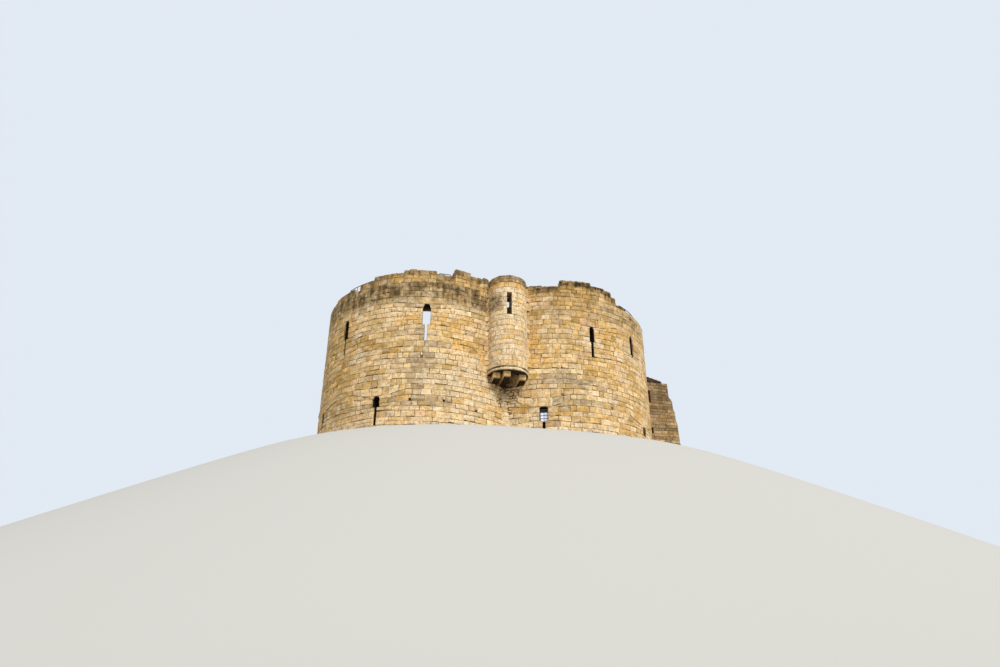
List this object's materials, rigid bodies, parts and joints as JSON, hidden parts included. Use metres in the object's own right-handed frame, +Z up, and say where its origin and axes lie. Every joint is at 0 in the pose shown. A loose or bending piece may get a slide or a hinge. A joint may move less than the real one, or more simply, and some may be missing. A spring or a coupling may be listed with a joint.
{
  "type": "castle keep",
  "caption": "Roofless stone keep of four joined round lobes, with corbelled turrets between them, arrow loops, a worn parapet and a gatehouse.",
  "frame": {"origin": "on the ground at the middle of the four lobes", "axes": "+X out through the gatehouse, -Y the front in the picture, +Z up"},
  "size_m": [24.0626, 21.3049, 10.5],
  "materials": {
    "limestone": "rough weathered ashlar",
    "parapet_stone": "rough, weathered brown",
    "turret_stone": "rough weathered ashlar",
    "gatehouse_stone": "rough, grey-brown",
    "paving": "worn flags",
    "roof_tile": "matt plain tile",
    "dark_metal": "dark paint",
    "window_frame": "dark paint",
    "window_glass": "clear, dusty"
  },
  "bodies": {
    "root": {"back_left_lower_wall_by_turret": "turret_stone", "back_left_lower_wall_face": "limestone", "back_left_lower_wall_flank": "limestone", "back_left_parapet": "parapet_stone", "back_left_upper_wall_by_turret": "turret_stone", "back_left_upper_wall_face": "limestone", "back_left_upper_wall_flank": "limestone", "back_right_lower_wall_by_gatehouse": "limestone", "back_right_lower_wall_by_turret": "turret_stone", "back_right_lower_wall_face": "limestone", "back_right_parapet": "parapet_stone", "back_right_upper_wall_by_gatehouse": "limestone", "back_right_upper_wall_by_turret": "turret_stone", "back_turret_base": "turret_stone", "back_turret_shell": "turret_stone", "entrance_passage_head": "limestone", "front_left_lower_wall_by_turret": "turret_stone", "front_left_lower_wall_face": "limestone", "front_left_lower_wall_flank": "limestone", "front_left_parapet": "parapet_stone", "front_left_upper_wall_by_turret": "turret_stone", "front_left_upper_wall_face": "limestone", "front_left_upper_wall_flank": "limestone", "front_right_lower_wall_by_gatehouse": "limestone", "front_right_lower_wall_by_turret": "turret_stone", "front_right_lower_wall_face": "limestone", "front_right_parapet": "parapet_stone", "front_right_upper_wall_by_gatehouse": "limestone", "front_right_upper_wall_by_turret": "turret_stone", "front_turret_base": "turret_stone", "front_turret_shell": "turret_stone", "gatehouse_floor": "paving", "gatehouse_front_head": "gatehouse_stone", "gatehouse_front_jamb_back": "gatehouse_stone", "gatehouse_front_jamb_front": "gatehouse_stone", "gatehouse_roof": "roof_tile", "gatehouse_side_wall_back": "gatehouse_stone", "gatehouse_side_wall_front": "gatehouse_stone", "gatehouse_upper_floor": "paving", "ground_floor": "paving", "guard_rails": "dark_metal", "left_turret_base": "turret_stone", "left_turret_shell": "turret_stone", "window_frames": "window_frame", "window_panes": "window_glass"}
  },
  "joints": []
}
